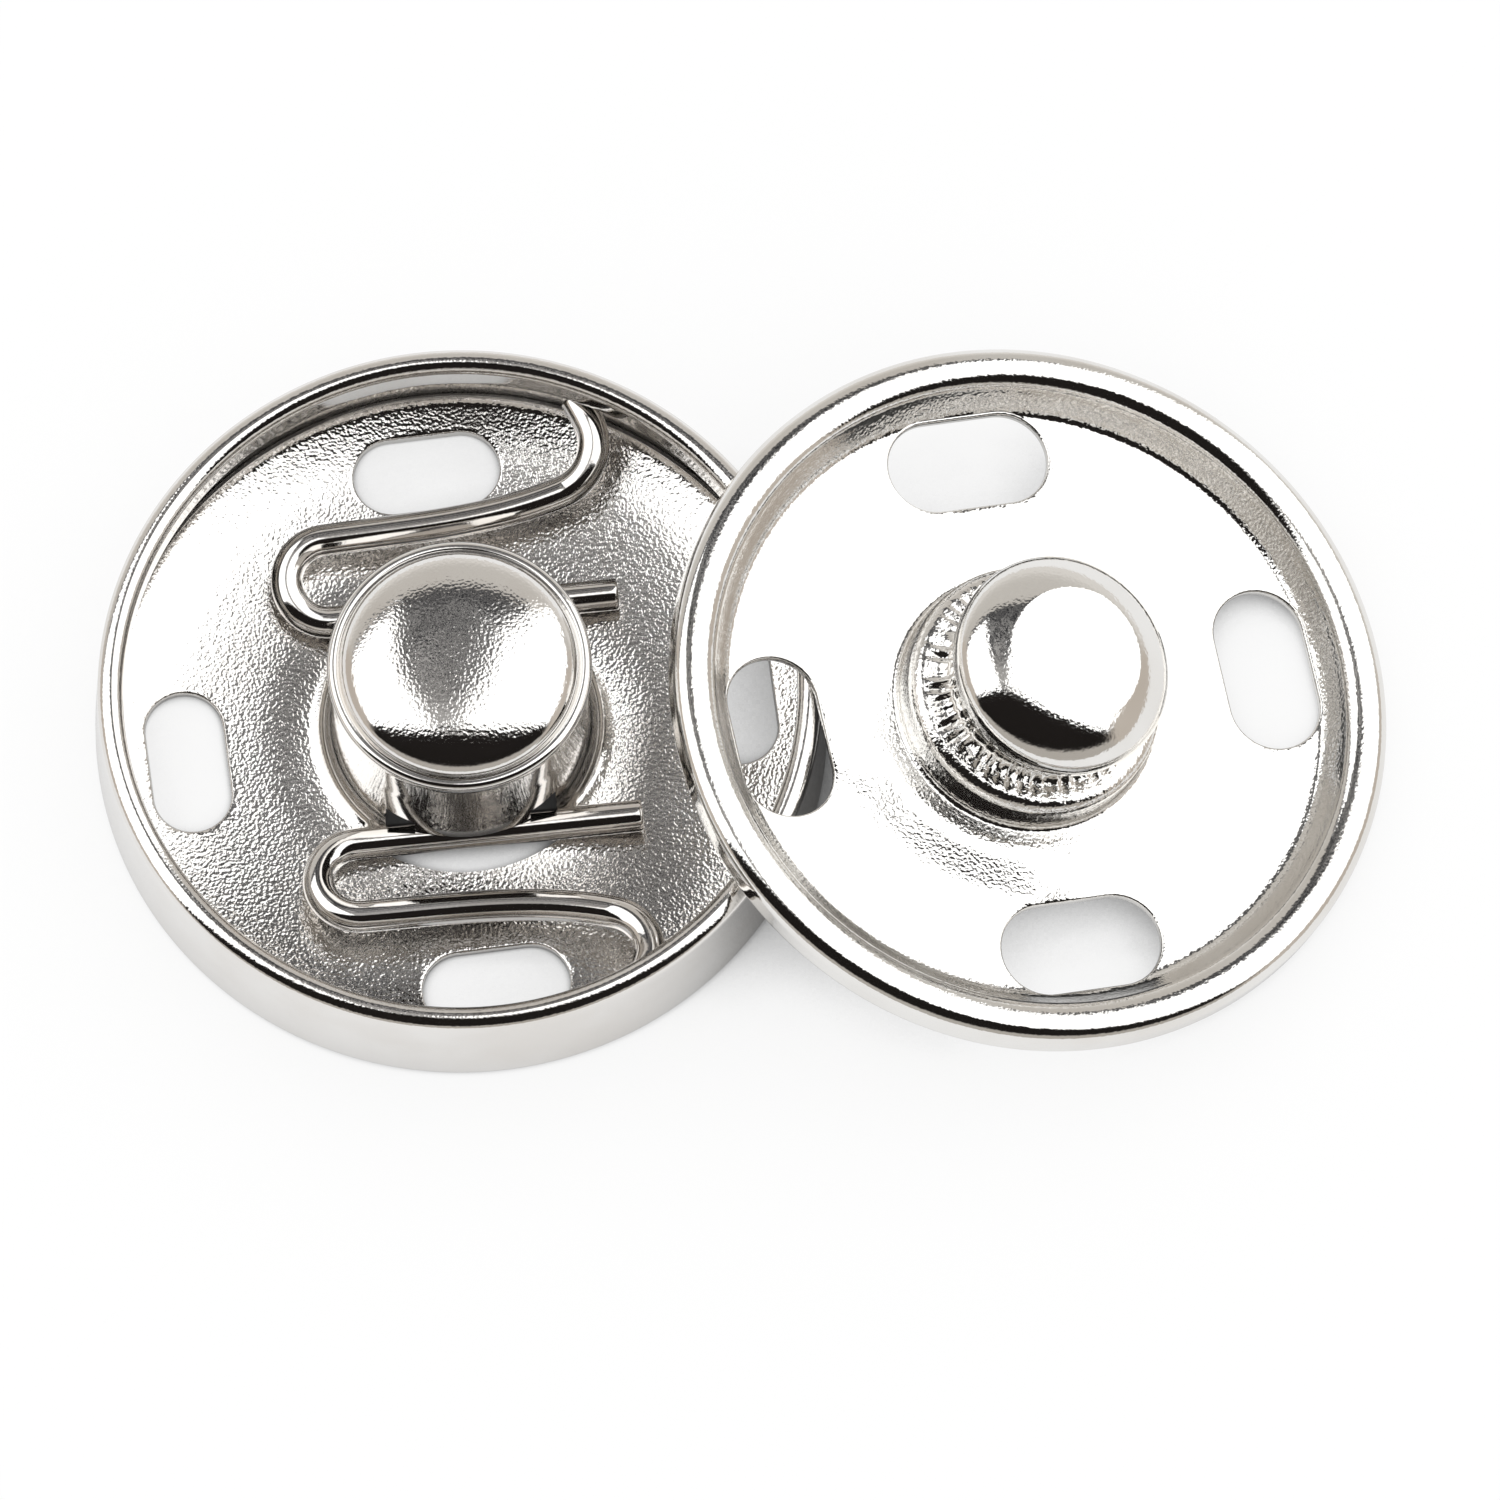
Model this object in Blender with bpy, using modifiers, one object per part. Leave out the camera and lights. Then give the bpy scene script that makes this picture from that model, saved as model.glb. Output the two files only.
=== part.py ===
"""Sew-on snap fastener: a socket half with two bent wire springs, and a stud half.

The socket half lies flat on its underside. The stud half leans on the socket's
rolled rim and stands on its own right-hand edge, as the pair was laid down.
Metres, +Z up. X runs through both centres. The origin is the middle of the
pair's bounding box, on the surface that both halves stand on.
"""
import math

import bmesh
import bpy
from mathutils import Matrix

MM = 0.001

# Sheet, wire and fits (mm)
SHEET = 0.30                # thickness of the pressed sheet
WIRE_RADIUS = 0.46          # spring wire
FIT = 0.10                  # clearance of the wires and of the resting stud half
STEPS = 48                  # facets round a turned piece
PATTERN_ANGLE_SOCKET = 8.0  # degrees that the socket's holes are turned
SPRING_ANGLE = 6.5          # degrees that the springs and the cup's windows are turned
PATTERN_ANGLE_STUD = 13.4   # degrees that the stud half's holes are turned

# Both halves (mm)
DISC_RADIUS = 10.50         # widest radius of the snap
STUD_HEAD = 3.23            # widest radius of the stud's head
STUD_NECK = 2.66            # outside of the stud's neck
STUD_PLAY = 0.07            # between the stud's head and the cup's bore
CENTRE_DISTANCE = DISC_RADIUS + 5.52    # between the two axes, at the undersides

# Socket half (mm)
BASE_RADIUS = DISC_RADIUS - 0.04        # widest, just above the underside
RIM_RADIUS = BASE_RADIUS - 0.13         # outside of the rolled rim
RIM_HEIGHT = 3.83           # top of the rolled rim
HEM_INNER = RIM_RADIUS - 0.73           # inside face of the hem that is folded in and down
HEM_DEPTH = 1.18            # how far the hem hangs below the top of the rim
CUP_WALL = STUD_HEAD + STUD_PLAY + SHEET    # outside of the cup below its lip
CUP_DRAFT = 0.07            # how much wider the cup is at its flare
CUP_LIP = CUP_WALL + 0.17   # outside of the cup's bead
CUP_BEAD = 0.19             # radius of the bead's section
CUP_LIP_HEIGHT = 5.40       # height of the bead's widest line
CUP_TOP = CUP_LIP_HEIGHT + 1.15         # top of the closed cup
CROWN_POWER = 2.5           # 2 would be a round crown, more is flatter in the middle
FLARE_RADIUS = 0.70         # fillet from the cup's wall to the floor
CUP_FOOT = CUP_WALL + CUP_DRAFT + FLARE_RADIUS + 0.05   # where the fillet meets the floor
SOCKET_HOLE_LENGTH = 4.20
SOCKET_HOLE_WIDTH = 2.22
SOCKET_HOLE_RADIUS = HEM_INNER - 1.73   # centre circle of the sewing holes

# Wire springs (mm and degrees), the second one a mirror image across the first one's X
LEG_OFFSET = STUD_NECK + WIRE_RADIUS + 0.27     # leg's distance from the middle line
LEG_END = CUP_FOOT + 0.44   # where the leg's cut end is
LOOP_X = 1.05 - CUP_FOOT    # centre of the return loop
LOOP_RADIUS = 1.18
RUN_START = 2.0             # heading of the wire as it leaves the loop
RUN_END = 18.0              # heading of the wire as it enters the bend
BEND_DISTANCE = BASE_RADIUS - 2.058     # from the axis to the centre of the outer bend
BEND_BEARING = 67.46        # direction of that centre
BEND_RADIUS = 1.39
BEND_END = 22.0             # how far round the bend goes
END_LENGTH = 0.80           # straight end after the bend, trimmed to the dish's wall
LEG_Z = SHEET + FIT + WIRE_RADIUS       # height of the wire's leg
LOOP_Z = LEG_Z + 0.42       # at the end of its loop
RUN_Z = LEG_Z + 0.69        # at the start of the bend
RIM_Z = LEG_Z + 1.20        # at its end under the rim

# Lanced windows of the cup (mm and degrees), one on each side, round the wires' legs
WINDOW_HALF_WIDTH = math.sqrt((CUP_WALL + CUP_DRAFT) ** 2 - (LEG_OFFSET - WIRE_RADIUS) ** 2) + 0.24
WINDOW_REACH = CUP_FOOT - 0.04
WINDOW_DEPTH = 0.9          # from the bore's wall towards the axis
WINDOW_HEIGHT = LEG_Z + WIRE_RADIUS + FIT
TAB_HALF_WIDTH = WINDOW_HALF_WIDTH - 0.80   # the wall hangs lower between a window's ends
NOTCH_HEIGHT = WINDOW_HEIGHT + 0.48     # top of the window at its ends
TUNNEL_LENGTH = 7.4         # of the passage that frees the leg from the flare
WALL_CUT_SPREAD = 24.0      # degrees each way that the wall's shape is cut into a wire

# Stud half (mm)
STUD_RIM_HEIGHT = 1.40
STUD_RIM_INNER = DISC_RADIUS - 1.00     # inside edge of the bead's flat top
STUD_FLOOR_RADIUS = STUD_RIM_INNER - 0.82   # where the bead's inner slope meets the floor
STUD_FOOT = STUD_HEAD + 0.50            # outside of the drawn step
STUD_TOP = 4.80
STUD_FLAT = STUD_HEAD - 1.30            # radius of the head's flat crown
CROWN_EDGE = 35.0           # degrees along the head's ellipse at which the flat crown ends
STUD_LEAN = 8.0             # degrees that the drawn stud leans towards +X
LEAN_FROM = 0.9             # height at which the lean starts
LEAN_FULL = 3.0             # height at which it is complete
HEAD_Z = STUD_TOP - 1.20    # height of the head's widest line
NECK_FILLET = 0.42          # of the neck and of the step below it
NECK_Z = HEAD_Z - 1.46      # centre of the neck's fillet
STUD_HOLE_LENGTH = 4.75
STUD_HOLE_WIDTH = 2.65
STUD_HOLE_RADIUS = STUD_FLOOR_RADIUS - 1.33


def clear_scene():
    for obj in list(bpy.data.objects):
        bpy.data.objects.remove(obj, do_unlink=True)


def new_collection(name):
    coll = bpy.data.collections.new(name)
    bpy.context.scene.collection.children.link(coll)
    return coll


def metal(name, color, roughness):
    mat = bpy.data.materials.new(name)
    mat.use_nodes = True
    bsdf = mat.node_tree.nodes["Principled BSDF"]
    bsdf.inputs["Base Color"].default_value = (*color, 1.0)
    bsdf.inputs["Metallic"].default_value = 1.0
    bsdf.inputs["Roughness"].default_value = roughness
    return mat


def arc(cx, cz, radius, start, end, count):
    """Points on a circle, from one angle to another, in degrees from +X."""
    pts = []
    for i in range(count + 1):
        a = math.radians(start + (end - start) * i / count)
        pts.append((cx + radius * math.cos(a), cz + radius * math.sin(a)))
    return pts


def shoulder(r_top, z_top, r_side, z_side, count):
    """Outer part of an ellipse, from the flat crown's edge down to the upright side."""
    start = math.radians(CROWN_EDGE)
    across = (r_side - r_top) / (1.0 - math.sin(start))
    down = (z_top - z_side) / math.cos(start)
    pts = []
    for i in range(count + 1):
        a = start + (math.pi * 0.5 - start) * i / count
        pts.append((r_side - across * (1.0 - math.sin(a)), z_side + down * math.cos(a)))
    return pts


def dome(top, r_side, z_side, count):
    """Crown of the cup, from the axis to its upright side."""
    pts = []
    for i in range(count + 1):
        r = r_side * math.sin(math.radians(90.0 * i / count))
        share = max(1.0 - (r / r_side) ** CROWN_POWER, 0.0)
        pts.append((r, z_side + (top - z_side) * math.sqrt(share)))
    return pts


def smoothstep(x):
    x = min(max(x, 0.0), 1.0)
    return x * x * (3.0 - 2.0 * x)


def turned_mesh(name, profile):
    """Closed profile of (radius, height) in mm, turned once about Z."""
    mesh = bpy.data.meshes.new(name + "_profile")
    verts = [(r * MM, 0.0, z * MM) for r, z in profile]
    edges = [(i, i + 1) for i in range(len(verts) - 1)]
    mesh.from_pydata(verts, edges, [])
    obj = bpy.data.objects.new(name + "_profile", mesh)
    bpy.context.scene.collection.objects.link(obj)
    screw = obj.modifiers.new("turn", "SCREW")
    screw.axis = "Z"
    screw.angle = math.radians(360.0)
    screw.steps = STEPS
    screw.render_steps = STEPS
    screw.use_merge_vertices = True
    screw.merge_threshold = 1e-6
    depsgraph = bpy.context.evaluated_depsgraph_get()
    result = bpy.data.meshes.new_from_object(obj.evaluated_get(depsgraph))
    bpy.data.objects.remove(obj, do_unlink=True)
    return result


def add_piece(name, mesh, material, coll):
    obj = bpy.data.objects.new(name, mesh)
    coll.objects.link(obj)
    mesh.materials.clear()
    mesh.materials.append(material)
    mesh.shade_smooth()
    mesh.set_sharp_from_angle(angle=math.radians(40.0))
    return obj


def prism_mesh(name, outlines, low, high):
    """Flat outlines in mm, each extruded from one height to another."""
    bm = bmesh.new()
    for number, outline in enumerate(outlines):
        curve = bpy.data.curves.new(f"{name}_{number}", "CURVE")
        curve.dimensions = "2D"
        curve.fill_mode = "BOTH"
        curve.extrude = (high - low) * 0.5 * MM
        spline = curve.splines.new("POLY")
        spline.points.add(len(outline) - 1)
        for point, (x, y) in zip(spline.points, outline):
            point.co = (x * MM, y * MM, 0.0, 1.0)
        spline.use_cyclic_u = True
        holder = bpy.data.objects.new(curve.name, curve)
        bpy.context.scene.collection.objects.link(holder)
        depsgraph = bpy.context.evaluated_depsgraph_get()
        mesh = bpy.data.meshes.new_from_object(holder.evaluated_get(depsgraph))
        bm.from_mesh(mesh)
        bpy.data.objects.remove(holder, do_unlink=True)
        bpy.data.meshes.remove(mesh)
    bmesh.ops.remove_doubles(bm, verts=bm.verts, dist=1e-7)
    bmesh.ops.translate(bm, verts=bm.verts, vec=(0.0, 0.0, (high + low) * 0.5 * MM))
    bmesh.ops.recalc_face_normals(bm, faces=bm.faces)
    mesh = bpy.data.meshes.new(name)
    bm.to_mesh(mesh)
    bm.free()
    return mesh


def add_cutter(target, name, mesh, coll):
    cutter = bpy.data.objects.new(name, mesh)
    coll.objects.link(cutter)
    cutter.hide_render = True
    cutter.display_type = "WIRE"
    cutter.matrix_world = target.matrix_world.copy()
    cut = target.modifiers.new(name, "BOOLEAN")
    cut.operation = "DIFFERENCE"
    cut.solver = "EXACT"
    cut.object = cutter
    return cutter


def turn(points, degrees):
    a = math.radians(degrees)
    return [(x * math.cos(a) - y * math.sin(a), x * math.sin(a) + y * math.cos(a)) for x, y in points]


def sewing_holes(radius, length, width, pattern_angle):
    """Four slots with round ends, their long sides square to the radius."""
    end = width * 0.5
    straight = length * 0.5 - end
    slot = arc(radius, straight, end, 0.0, 180.0, 8) + arc(radius, -straight, end, 180.0, 360.0, 8)
    return [turn(slot, pattern_angle + 90.0 * i) for i in range(4)]


def socket_profile():
    """Crown, bead and flare of the cup, the floor, the wall, its folded hem, and back below."""
    floor = SHEET
    crown = dome(CUP_TOP, CUP_LIP - 1.9 * CUP_BEAD, CUP_LIP_HEIGHT + 0.10, 7)
    bead = arc(CUP_LIP - CUP_BEAD, CUP_LIP_HEIGHT, CUP_BEAD, 118.0, -60.0, 5)
    flare = [
        (CUP_WALL, CUP_LIP_HEIGHT - 0.6),
        (CUP_WALL + CUP_DRAFT * 0.3, CUP_LIP_HEIGHT - 2.0),
        (CUP_WALL + CUP_DRAFT, CUP_LIP_HEIGHT - 3.0),
    ]
    flare += arc(CUP_FOOT, floor + FLARE_RADIUS, FLARE_RADIUS, 172.0, 270.0, 5)
    corner = 0.32
    wall_inner = BASE_RADIUS - SHEET
    inner_corner = arc(wall_inner - corner, floor + corner, corner, -90.0, 0.0, 3)
    rim_inner = RIM_RADIUS - SHEET
    fold_gap = RIM_RADIUS - HEM_INNER - 2.0 * SHEET
    fold_top = RIM_HEIGHT - SHEET - fold_gap * 0.5
    fold = arc(rim_inner - fold_gap * 0.5, fold_top, fold_gap * 0.5, 0.0, 180.0, 3)
    hem_end = RIM_HEIGHT - HEM_DEPTH
    hem_edge = arc(HEM_INNER + SHEET * 0.5, hem_end + SHEET * 0.5, SHEET * 0.5, 0.0, -180.0, 3)
    roll_radius = (RIM_RADIUS - HEM_INNER) * 0.5
    roll = arc(HEM_INNER + roll_radius, RIM_HEIGHT - roll_radius, roll_radius, 180.0, 0.0, 7)
    base = 0.46
    outer_corner = [(BASE_RADIUS - 0.01, base + 0.55)]
    outer_corner += arc(BASE_RADIUS - base, base, base, 0.0, -90.0, 3)
    mouth_radius = FLARE_RADIUS + SHEET
    mouth = arc(CUP_FOOT, mouth_radius, mouth_radius, 270.0, 172.0, 5)
    bore = [
        (CUP_WALL + CUP_DRAFT - SHEET, CUP_LIP_HEIGHT - 3.0),
        (CUP_WALL + CUP_DRAFT * 0.3 - SHEET, CUP_LIP_HEIGHT - 2.0),
        (CUP_WALL - SHEET, CUP_LIP_HEIGHT - 0.6),
    ]
    ceiling = dome(CUP_TOP - SHEET, CUP_WALL - SHEET, CUP_LIP_HEIGHT - 0.35, 6)[::-1]
    return (
        crown + bead + flare + inner_corner + fold + hem_edge + roll + outer_corner
        + mouth + bore + ceiling
    )


def stud_profile():
    """Crown, head, neck and foot of the stud, the floor, the solid rim bead, and back below."""
    floor = SHEET
    crown = [(0.0, STUD_TOP), (STUD_FLAT * 0.55, STUD_TOP - 0.01)]
    head = shoulder(STUD_FLAT, STUD_TOP - 0.04, STUD_HEAD, HEAD_Z, 5)
    head += [(STUD_HEAD - 0.06, HEAD_Z - 0.45), (STUD_HEAD - 0.24, HEAD_Z - 0.83)]
    neck = arc(STUD_NECK + NECK_FILLET, NECK_Z, NECK_FILLET, 162.0, 262.0, 4)
    step = arc(STUD_FOOT - NECK_FILLET, NECK_Z - 0.86, NECK_FILLET, 80.0, 8.0, 3)
    foot = [(STUD_FOOT, 0.95)] + arc(STUD_FOOT + 0.22, floor + 0.20, 0.20, 180.0, 270.0, 3)
    slope = [
        (STUD_FLOOR_RADIUS, floor),
        (STUD_FLOOR_RADIUS + 0.22, floor + 0.16),
        (STUD_FLOOR_RADIUS + 0.50, floor + 0.58),
        (STUD_RIM_INNER - 0.12, STUD_RIM_HEIGHT - 0.16),
        (STUD_RIM_INNER + 0.16, STUD_RIM_HEIGHT - 0.03),
    ]
    side = STUD_RIM_HEIGHT * 0.5
    bead = [(STUD_RIM_INNER + 0.42, STUD_RIM_HEIGHT)]
    bead += arc(DISC_RADIUS - 0.48, side + 0.18, 0.48, 75.0, 0.0, 4)
    bead += arc(DISC_RADIUS - 0.44, 0.44, 0.44, 0.0, -90.0, 4)
    mouth = arc(STUD_FOOT + 0.22, 0.52, 0.52, 270.0, 180.0, 4)
    inner = STUD_FOOT - SHEET + 0.02
    hollow = [(inner, 0.95)] + arc(STUD_FOOT - 0.48, 1.16, 0.18, 10.0, 85.0, 3)
    hollow += arc(STUD_NECK + NECK_FILLET, NECK_Z, NECK_FILLET + SHEET, 258.0, 166.0, 3)
    hollow += [(STUD_HEAD - 0.26 - SHEET, HEAD_Z - 0.71), (STUD_HEAD - 0.07 - SHEET, HEAD_Z - 0.41)]
    hollow += shoulder(STUD_FLAT - 0.06, STUD_TOP - 0.06 - SHEET, STUD_HEAD - SHEET, HEAD_Z, 4)[::-1]
    hollow += [(STUD_FLAT * 0.55, STUD_TOP - SHEET - 0.01), (0.0, STUD_TOP - SHEET)]
    return crown + head + neck + step + foot + slope + bead + mouth + hollow


def lean_stud(mesh):
    """Bend the drawn stud about Y: the lean grows from the step to the head, then stays."""
    table = []
    x_mid, z_mid, height = 0.0, LEAN_FROM, LEAN_FROM
    step = 0.02
    while height < STUD_TOP + step:
        angle = math.radians(STUD_LEAN) * smoothstep((height - LEAN_FROM) / (LEAN_FULL - LEAN_FROM))
        table.append((height, x_mid, z_mid, angle))
        x_mid += math.sin(angle) * step
        z_mid += math.cos(angle) * step
        height += step
    for vert in mesh.vertices:
        x, height = vert.co.x / MM, vert.co.z / MM
        if height <= LEAN_FROM or math.hypot(x, vert.co.y / MM) > STUD_FOOT + 0.3:
            continue
        base, x_mid, z_mid, angle = table[min(int((height - LEAN_FROM) / step), len(table) - 1)]
        up = height - base
        vert.co.x = (x_mid + x * math.cos(angle) + up * math.sin(angle)) * MM
        vert.co.z = (z_mid - x * math.sin(angle) + up * math.cos(angle)) * MM


def seat_stud():
    """Tilt in radians and the underside's centre (x, z) of the leaning stud half.

    The lowest line of its edge stands on z = 0. Its flat underside clears the top
    of the socket's rolled rim by FIT, measured square to the underside.
    """
    profile = stud_profile()
    roll_radius = (RIM_RADIUS - HEM_INNER) * 0.5
    rim_x = HEM_INNER + roll_radius
    rim_z = RIM_HEIGHT - roll_radius
    low, high = 0.0, math.radians(40.0)
    for _ in range(60):
        tilt = (low + high) * 0.5
        s, c = math.sin(tilt), math.cos(tilt)
        centre_z = -min(z * c - r * s for r, z in profile)
        clearance = (CENTRE_DISTANCE - rim_x) * s + (centre_z - rim_z) * c - roll_radius
        if clearance > FIT:
            high = tilt
        else:
            low = tilt
    return tilt, CENTRE_DISTANCE, centre_z


def heading_vector(degrees):
    return math.cos(math.radians(degrees)), math.sin(math.radians(degrees))


def bend_centre():
    u, v = heading_vector(BEND_BEARING)
    return BEND_DISTANCE * u, BEND_DISTANCE * v


def spring_points():
    """Centre line of one wire: leg, return loop, run, and the bend that ends under the rim.

    The run is a cubic that leaves the loop and meets the bend without a kink.
    The wire lies low through the cup's windows and rises towards the rim.
    """
    bend_x, bend_y = bend_centre()
    pts = [(LEG_END, LEG_OFFSET, LEG_Z)]
    pts.append((LOOP_X + 1.2, LEG_OFFSET, LEG_Z))
    loop = arc(LOOP_X, LEG_OFFSET + LOOP_RADIUS, LOOP_RADIUS, 270.0, 90.0 + RUN_START, 12)
    for i, (x, y) in enumerate(loop):
        pts.append((x, y, LEG_Z + (LOOP_Z - LEG_Z) * smoothstep(i / (len(loop) - 1))))
    bend = arc(bend_x, bend_y, BEND_RADIUS, RUN_END - 90.0, BEND_END, 9)
    (x0, y0), (x1, y1) = loop[-1], bend[0]
    span = math.hypot(x1 - x0, y1 - y0)
    (u0, v0), (u1, v1) = heading_vector(RUN_START), heading_vector(RUN_END)
    count = 8
    for i in range(1, count):
        t = i / count
        a, b = 2 * t ** 3 - 3 * t ** 2 + 1, 3 * t ** 2 - 2 * t ** 3
        c, d = (t ** 3 - 2 * t ** 2 + t) * span, (t ** 3 - t ** 2) * span
        x = a * x0 + b * x1 + c * u0 + d * u1
        y = a * y0 + b * y1 + c * v0 + d * v1
        pts.append((x, y, LOOP_Z + (RUN_Z - LOOP_Z) * t))
    for i, (x, y) in enumerate(bend):
        pts.append((x, y, RUN_Z + (RIM_Z - RUN_Z) * i / (len(bend) - 1)))
    u, v = heading_vector(BEND_END + 90.0)
    pts.append((bend[-1][0] + END_LENGTH * u, bend[-1][1] + END_LENGTH * v, RIM_Z))
    return pts


def spring_mesh(name, side):
    """The wire on one side of the cup: side is 1 or -1."""
    curve = bpy.data.curves.new(name + "_path", "CURVE")
    curve.dimensions = "3D"
    curve.bevel_depth = WIRE_RADIUS * MM
    curve.bevel_resolution = 3
    curve.use_fill_caps = True
    points = spring_points()
    spline = curve.splines.new("POLY")
    spline.points.add(len(points) - 1)
    for point, (x, y, z) in zip(spline.points, points):
        (x, y), = turn([(x, side * y)], SPRING_ANGLE)
        point.co = (x * MM, y * MM, z * MM, 1.0)
    holder = bpy.data.objects.new(curve.name, curve)
    bpy.context.scene.collection.objects.link(holder)
    depsgraph = bpy.context.evaluated_depsgraph_get()
    mesh = bpy.data.meshes.new_from_object(holder.evaluated_get(depsgraph))
    bpy.data.objects.remove(holder, do_unlink=True)
    bm = bmesh.new()
    bm.from_mesh(mesh)
    bmesh.ops.remove_doubles(bm, verts=bm.verts, dist=1e-7)
    bmesh.ops.recalc_face_normals(bm, faces=bm.faces)
    bm.to_mesh(mesh)
    bm.free()
    return mesh


def window_outline(inner_half, outer_half):
    """Crescent from inside the bore to the cup's foot, from one distance along the window to another."""
    start = math.degrees(math.acos(outer_half / WINDOW_REACH))
    stop = math.degrees(math.acos(inner_half / WINDOW_REACH))
    rim = arc(0.0, 0.0, WINDOW_REACH, start, stop, 6)
    depth = CUP_WALL - SHEET - WINDOW_DEPTH
    return rim + [(inner_half, depth), (outer_half, depth)]


def window_mesh(name, inner_half, outer_half, top):
    """Cutter for both windows, or for the ends of both, up to the given height."""
    outlines = []
    for side in (0.0, 180.0):
        piece = window_outline(inner_half, outer_half)
        outlines.append(turn(piece, SPRING_ANGLE + side))
        if inner_half > 0.0:
            mirrored = [(-x, y) for x, y in piece]
            outlines.append(turn(mirrored, SPRING_ANGLE + side))
    return prism_mesh(name, outlines, -1.0, top)


def wall_outline(side):
    """Ring sector outside the dish's inner wall, around the end of one wire."""
    inner = BASE_RADIUS - SHEET - FIT
    bend_x, bend_y = bend_centre()
    middle = math.degrees(math.atan2(bend_y, bend_x + BEND_RADIUS))
    low, high = middle - WALL_CUT_SPREAD, middle + WALL_CUT_SPREAD
    ring = arc(0.0, 0.0, inner, low, high, 12)
    ring += arc(0.0, 0.0, inner + 2.0, high, low, 12)
    return turn([(x, side * y) for x, y in ring], SPRING_ANGLE)


def wire_tunnels(name):
    """A round passage for each leg through the cup's flare, wider than the wire by the fit."""
    bm = bmesh.new()
    radius = WIRE_RADIUS + FIT - 0.01
    for side in (1.0, -1.0):
        (x, y), = turn([(0.0, side * LEG_OFFSET)], SPRING_ANGLE)
        made = bmesh.ops.create_cone(
            bm, cap_ends=True, segments=20, radius1=radius * MM, radius2=radius * MM,
            depth=TUNNEL_LENGTH * MM,
        )
        centre = (0.0, 0.0, 0.0)
        for axis, degrees in (("Y", 90.0), ("Z", SPRING_ANGLE)):
            matrix = Matrix.Rotation(math.radians(degrees), 3, axis)
            bmesh.ops.rotate(bm, verts=made["verts"], cent=centre, matrix=matrix)
        bmesh.ops.translate(bm, verts=made["verts"], vec=(x * MM, y * MM, LEG_Z * MM))
    mesh = bpy.data.meshes.new(name)
    bm.to_mesh(mesh)
    bm.free()
    return mesh


def main():
    clear_scene()
    parts = new_collection("snap_fastener")
    cutters = new_collection("cutters")
    plate = metal("nickel_plate", (0.74, 0.72, 0.69), 0.16)
    wire = metal("nickel_wire", (0.76, 0.74, 0.71), 0.10)
    plate_stud = metal("nickel_plate_stud", (0.78, 0.76, 0.73), 0.14)

    tilt, stud_x, stud_z = seat_stud()
    right_edge = stud_x + max(r * math.cos(tilt) + z * math.sin(tilt) for r, z in stud_profile())
    socket_x = -(right_edge - BASE_RADIUS) * 0.5

    socket = add_piece("socket_disc", turned_mesh("socket_disc", socket_profile()), plate, parts)
    socket.location = (socket_x * MM, 0.0, 0.0)
    for name, side in (("spring_back", 1.0), ("spring_front", -1.0)):
        spring = add_piece(name, spring_mesh(name, side), wire, parts)
        spring.location = (socket_x * MM, 0.0, 0.0)
        bpy.context.view_layer.update()
        wall = prism_mesh(name + "_wall", [wall_outline(side)], 0.0, RIM_HEIGHT)
        add_cutter(spring, name + "_wall", wall, cutters)
    stud = turned_mesh("stud_disc", stud_profile())
    lean_stud(stud)
    stud = add_piece("stud_disc", stud, plate_stud, parts)
    stud.location = ((socket_x + stud_x) * MM, 0.0, stud_z * MM)
    stud.rotation_euler = (0.0, tilt, 0.0)
    bpy.context.view_layer.update()

    holes = sewing_holes(SOCKET_HOLE_RADIUS, SOCKET_HOLE_LENGTH, SOCKET_HOLE_WIDTH, PATTERN_ANGLE_SOCKET)
    add_cutter(socket, "socket_holes", prism_mesh("socket_holes", holes, -1.0, 1.0), cutters)
    windows = window_mesh("cup_windows", -WINDOW_HALF_WIDTH, WINDOW_HALF_WIDTH, WINDOW_HEIGHT)
    add_cutter(socket, "cup_windows", windows, cutters)
    notches = window_mesh("window_ends", TAB_HALF_WIDTH, WINDOW_HALF_WIDTH, NOTCH_HEIGHT)
    add_cutter(socket, "window_ends", notches, cutters)
    add_cutter(socket, "leg_tunnels", wire_tunnels("leg_tunnels"), cutters)
    holes = sewing_holes(STUD_HOLE_RADIUS, STUD_HOLE_LENGTH, STUD_HOLE_WIDTH, PATTERN_ANGLE_STUD)
    add_cutter(stud, "stud_holes", prism_mesh("stud_holes", holes, -1.0, 1.0), cutters)


main()
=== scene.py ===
import math

import bpy
import numpy as np
from mathutils import Matrix, Vector


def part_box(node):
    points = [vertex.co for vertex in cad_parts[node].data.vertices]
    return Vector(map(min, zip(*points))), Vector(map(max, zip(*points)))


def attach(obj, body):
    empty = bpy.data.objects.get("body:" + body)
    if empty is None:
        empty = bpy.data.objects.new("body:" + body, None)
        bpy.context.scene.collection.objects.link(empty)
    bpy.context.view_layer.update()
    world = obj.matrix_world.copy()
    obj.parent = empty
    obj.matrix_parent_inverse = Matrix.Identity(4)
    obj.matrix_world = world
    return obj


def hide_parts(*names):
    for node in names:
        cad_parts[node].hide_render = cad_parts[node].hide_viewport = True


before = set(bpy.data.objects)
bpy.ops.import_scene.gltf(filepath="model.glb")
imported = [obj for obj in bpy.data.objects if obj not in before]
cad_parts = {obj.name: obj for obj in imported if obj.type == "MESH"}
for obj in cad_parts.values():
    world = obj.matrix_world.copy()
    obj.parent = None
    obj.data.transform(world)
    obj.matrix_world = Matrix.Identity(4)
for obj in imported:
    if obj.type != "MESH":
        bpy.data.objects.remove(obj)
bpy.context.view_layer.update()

# A sew-on snap fastener: the socket half lies flat, the stud half leans on its rolled rim.
# Shapes are worked out in millimetres and turned into metres when a mesh is made.

MM = 0.001

# ---------------------------------------------------------------- sizes (mm, degrees)

SHEET = 0.30                # the pressed sheet
WIRE_RADIUS = 0.46
FIT = 0.10                  # left between pieces that rest on each other
SPRING_ANGLE = 6.5          # turn of the springs and of the cup's windows

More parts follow.
